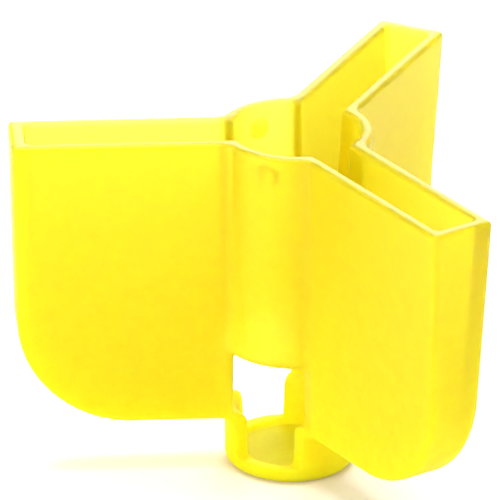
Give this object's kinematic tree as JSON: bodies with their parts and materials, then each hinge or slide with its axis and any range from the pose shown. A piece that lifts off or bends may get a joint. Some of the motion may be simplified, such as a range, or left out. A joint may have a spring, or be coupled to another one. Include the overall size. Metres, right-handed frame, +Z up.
{
  "type": "star picket safety cap",
  "caption": "Moulded plastic safety cap for a Y-section fence post, with a hub bore, radial wing pockets, side windows and a closed foot.",
  "frame": {"origin": "centre of the flat underside of the foot, on the hub axis", "axes": "+Z up along the hub axis out of the open mouth; -X along the left wing; the back and front wings at 60 degrees either side of +X"},
  "size_m": [0.0608, 0.07, 0.0485],
  "materials": {
    "yellow_plastic": "translucent bright yellow polyethylene, satin moulded surface"
  },
  "bodies": {
    "root": {"left_wing_edge": "yellow_plastic", "left_wing_front_wall": "yellow_plastic", "left_wing_back_wall": "yellow_plastic", "back_wing_edge": "yellow_plastic", "back_wing_left_wall": "yellow_plastic", "back_wing_right_wall": "yellow_plastic", "front_wing_edge": "yellow_plastic", "front_wing_right_wall": "yellow_plastic", "front_wing_left_wall": "yellow_plastic", "pillar_left": "yellow_plastic", "pillar_back": "yellow_plastic", "pillar_front": "yellow_plastic", "hub_arc_back_left": "yellow_plastic", "retention_nib_back_left": "yellow_plastic", "hub_arc_front_left": "yellow_plastic", "retention_nib_front_left": "yellow_plastic", "hub_arc_right": "yellow_plastic", "retention_nib_right": "yellow_plastic", "foot_cup": "yellow_plastic"}
  },
  "joints": []
}
